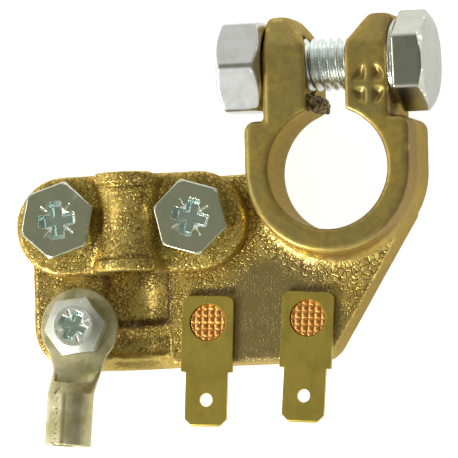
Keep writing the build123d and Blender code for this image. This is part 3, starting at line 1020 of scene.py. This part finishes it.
# each screw's body, its diameter, width across its flats, head and length in millimetres, the turns
# of its head and recess and the fall of its corners in degrees, and its seat
screw_places = (
    ("saddle_screw_left", "left_screw", (6, 10, 4, 8), (18, 5), 1.06, 30, left_seat),
    ("saddle_screw_right", "right_screw", (6, 10, 4, 8), (-17, -17), 1.06, 30, right_seat),
    ("lug_screw", "lug_fastener", (5, 8, 3.5, 6), (5.5, -28), 0.74, 27, lug_seat),
)
for node, body, sizes, turns, share, fall, seat in screw_places:
    diameter, flats, head, length = [size / to_millimetres for size in sizes]
    screw = cross_screw(
        node + "_zinc",
        diameter,
        flats,
        head,
        length,
        [math.radians(degrees) for degrees in turns],
        share,
        fall,
        head * recess_depth_share,
    )
    screw.data.materials.clear()
    screw.data.materials.append(lug_screw_zinc if node == "lug_screw" else screw_zinc)
    screw.data.materials.append(recess_zinc_painted_sheen)
    for face in screw.data.polygons:
        inside = math.hypot(face.center.x, face.center.y) < flats * recess_reach_share
        height_share = face.center.z / head
        sunk = recess_foot_height_share < height_share < recess_rim_height_share
        face.material_index = 1 if inside and sunk else 0
    place_piece(screw, seat, Matrix.Identity(4))
    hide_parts(node)
    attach(screw, body)

# Ring lug: a crimp lug stamped and rolled from 1 mm tinned copper sheet. Its ring is pressed a
# little hollow by the screw, and its neck closes into a barrel with a butt seam on top.
lug_centre = Vector((-0.03926, -0.02117, 0))
lug_lean = math.radians(4.85)
lug = copy_of_node("ring_lug", "ring_lug_tinned")
lug_voxel = 0.00012
lug_smoothing = 8
lug_ripple = (0.0018, 0.00007)
tin_light = (0.63, 0.57, 0.36, 1)
tin_dark = (0.46, 0.43, 0.22, 1)
barrel_span = (-9.6, -10.2)
# two lines along the barrel: the dark crease at its seam, and the pitted burr to the left of it
crease_place = -0.05
crease_span = (0.42, 0.15)
crease_colour = (0.22, 0.19, 0.07, 1)
crease_share = 0.7
burr_place = -1.25
burr_span = (0.45, 0.15)
burr_colour = (0.08, 0.065, 0.04, 1)
burr_share = 0.8
pits_span = (0.52, 0.60)
tin_roughness = 0.44
tin_fine_roughness = 0.2
tin_dent_depth = 0.00005
tin_sand_depth = 0.00001
remesh(lug, lug_voxel, lug_smoothing)
ripple(lug, *lug_ripple)
tin, tin_place = new_material("tinned_sheet")
tin_clouds = step_mask(tin, grain(tin, tin_place, 0.35, 4.0), 0.40, 0.62)
tin_fine = grain(tin, tin_place, 5.0, 3.0)
tin_colour = mix_colour(tin, tin_clouds, tin_light, tin_dark)
tin_centred = add_node(
    tin, "ShaderNodeMapping", {"Vector": tin_place, "Location": -to_millimetres * lug_centre}
).outputs[0]
tin_turned = add_node(
    tin, "ShaderNodeMapping", {"Vector": tin_centred, "Rotation": (0, 0, lug_lean)}
).outputs[0]
tin_parts = add_node(tin, "ShaderNodeSeparateXYZ", {0: tin_turned}).outputs
on_barrel = step_mask(tin, tin_parts["Y"], *barrel_span)
crease = arithmetic(tin, "SUBTRACT", tin_parts["X"], crease_place)
crease = arithmetic(tin, "ABSOLUTE", crease)
crease = product(tin, step_mask(tin, crease, *crease_span), on_barrel, crease_share)
burr = arithmetic(tin, "SUBTRACT", tin_parts["X"], burr_place)
burr = arithmetic(tin, "ABSOLUTE", burr)
burr = product(tin, step_mask(tin, burr, *burr_span), on_barrel)
burr = product(
    tin, burr, step_mask(tin, grain(tin, tin_place, 2.6, 3.0), *pits_span), burr_share
)
tin_colour = mix_colour(tin, crease, tin_colour, crease_colour)
tin_colour = mix_colour(tin, burr, tin_colour, burr_colour)
tin_rough = arithmetic(tin, "MULTIPLY_ADD", tin_fine, tin_fine_roughness, tin_roughness)
tin_bumps = bump(tin, grain(tin, tin_place, 1.2, 3.0), tin_dent_depth)
tin_bumps = bump(tin, tin_fine, tin_sand_depth, tin_bumps)
lug.data.materials.append(finish_metal(tin, tin_colour, tin_rough, tin_bumps))
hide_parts("ring_lug")
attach(lug, "lug")

# Blade tabs: stamped from 0.8 mm brass strip, with rolled grain along the blade, edges rounded by
# the die, a bevelled tip and a detent hole.
strip_light = (0.53, 0.41, 0.085, 1)
strip_dark = (0.46, 0.35, 0.075, 1)
strip_stretch = (3.0, 0.25, 3.0)
strip_roughness = 0.34
strip_line_roughness = 0.15
strip_line_depth = 0.000012
strip_sand_depth = 0.00001
tab_rounding = 0.00012
merge_angle = math.radians(1)
strip, strip_place = new_material("stamped_strip")
strip_along = add_node(
    strip, "ShaderNodeMapping", {"Vector": strip_place, "Scale": strip_stretch}
).outputs[0]
strip_lines = grain(strip, strip_along, 1.6, 4.0, 0.6)
strip_clouds = step_mask(strip, grain(strip, strip_place, 0.3, 3.0), 0.40, 0.64)
strip_colour = mix_colour(strip, strip_clouds, strip_light, strip_dark)
strip_rough = arithmetic(strip, "MULTIPLY_ADD", strip_lines, strip_line_roughness, strip_roughness)
strip_bumps = bump(strip, strip_lines, strip_line_depth)
strip_bumps = bump(strip, grain(strip, strip_place, 4.0, 3.0), strip_sand_depth, strip_bumps)
finish_metal(strip, strip_colour, strip_rough, strip_bumps)
for side in ("left", "right"):
    tab = copy_of_node("blade_tab_" + side, "blade_tab_" + side + "_strip")
    bpy.ops.object.mode_set(mode="EDIT")
    bpy.ops.mesh.select_all(action="SELECT")
    bpy.ops.mesh.dissolve_limited(angle_limit=merge_angle)
    bpy.ops.object.mode_set(mode="OBJECT")
    edges = tab.modifiers.new("die_rounded", "BEVEL")
    edges.width = tab_rounding
    edges.segments = 2
    edges.angle_limit = crisp_angle
    apply_modifiers(tab)
    bpy.ops.object.shade_smooth_by_angle(angle=crisp_angle)
    level = tab.modifiers.new("flat_faces", "WEIGHTED_NORMAL")
    level.keep_sharp = True
    apply_modifiers(tab)
    tab.data.materials.append(strip)
    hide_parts("blade_tab_" + side)
    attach(tab, "clamp_body")

# Rivets: solid copper, each set by a punch with a waffle face. The foot is spread flush with the
# underside of the plate.
copper_light = (0.80, 0.36, 0.085, 1)
copper_dark = (0.68, 0.33, 0.10, 1)
copper_roughness = 0.3
copper_sand_depth = 0.000012
copper, copper_place = new_material("pressed_copper")
copper_colour = mix_colour(copper, grain(copper, copper_place, 0.9, 4.0), copper_light, copper_dark)
copper_bumps = bump(copper, grain(copper, copper_place, 5.0, 2.0), copper_sand_depth)
finish_metal(copper, copper_colour, copper_roughness, copper_bumps)
rivet_top = 0.0007
rivet_radius = 0.00265
rivet_under = 0.00035
rivet_shank = 0.0019
rivet_foot = 0.0026
rivet_foot_top = -0.0051
rivet_foot_face = -0.006
waffle_cells = 5.4
waffle_height = 0.00016
waffle_rows = 72
pad_sharpness = 0.6
rim_from = 0.9
rim_drop_share = 1.2
rivet_rim = rivet_top - waffle_height * rim_drop_share
rivet_places = (
    ("left", Vector((-0.01995, -0.02125, 0)), math.radians(-2.9)),
    ("right", Vector((-0.00496, -0.02125, 0)), math.radians(-4.56)),
)
for side, centre, lean in rivet_places:
    bpy.ops.mesh.primitive_grid_add(
        x_subdivisions=waffle_rows, y_subdivisions=waffle_rows, size=2, location=(0, 0, 0)
    )
    rivet = bpy.context.object
    rivet.name = "tab_rivet_" + side + "_copper"
    choose(rivet)
    for vertex in rivet.data.vertices:
        across, along = vertex.co.x, vertex.co.y
        round_x = across * math.sqrt(1 - along * along / 2)
        round_y = along * math.sqrt(1 - across * across / 2)
        reach = min(1, math.hypot(round_x, round_y))
        pads = abs(math.sin(round_x * waffle_cells / 2 * math.pi)) ** pad_sharpness
        pads *= abs(math.sin(round_y * waffle_cells / 2 * math.pi)) ** pad_sharpness
        fall = max(0, (reach - rim_from) / (1 - rim_from)) ** 2
        height = rivet_top - waffle_height * (1 - pads) * (1 - fall)
        height -= (rivet_top - rivet_rim) * fall
        vertex.co = Vector((round_x * rivet_radius, round_y * rivet_radius, height))
    bpy.ops.object.mode_set(mode="EDIT")
    bpy.ops.mesh.select_all(action="SELECT")
    bpy.ops.mesh.region_to_loop()
    for radius_ratio, drop in (
        (1, rivet_under),
        (rivet_shank / rivet_radius, 0),
        (1, rivet_rim - rivet_under - rivet_foot_top),
        (rivet_foot / rivet_shank, rivet_foot_top - rivet_foot_face),
    ):
        bpy.ops.mesh.extrude_edges_move(TRANSFORM_OT_translate={"value": (0, 0, 0)})
        if radius_ratio != 1:
            bpy.ops.transform.resize(
                value=(radius_ratio, radius_ratio, 1), center_override=(0, 0, 0)
            )
        if drop:
            bpy.ops.transform.translate(value=(0, 0, -drop))
    bpy.ops.mesh.edge_face_add()
    bpy.ops.mesh.select_all(action="SELECT")
    bpy.ops.mesh.normals_make_consistent(inside=False)
    bpy.ops.object.mode_set(mode="OBJECT")
    bpy.ops.object.shade_smooth_by_angle(angle=crisp_angle)
    rivet.data.transform(Matrix.Translation(centre) @ Matrix.Rotation(lean, 4, "Z"))
    rivet.data.materials.append(copper)
    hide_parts("tab_rivet_" + side)
    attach(rivet, "clamp_body")
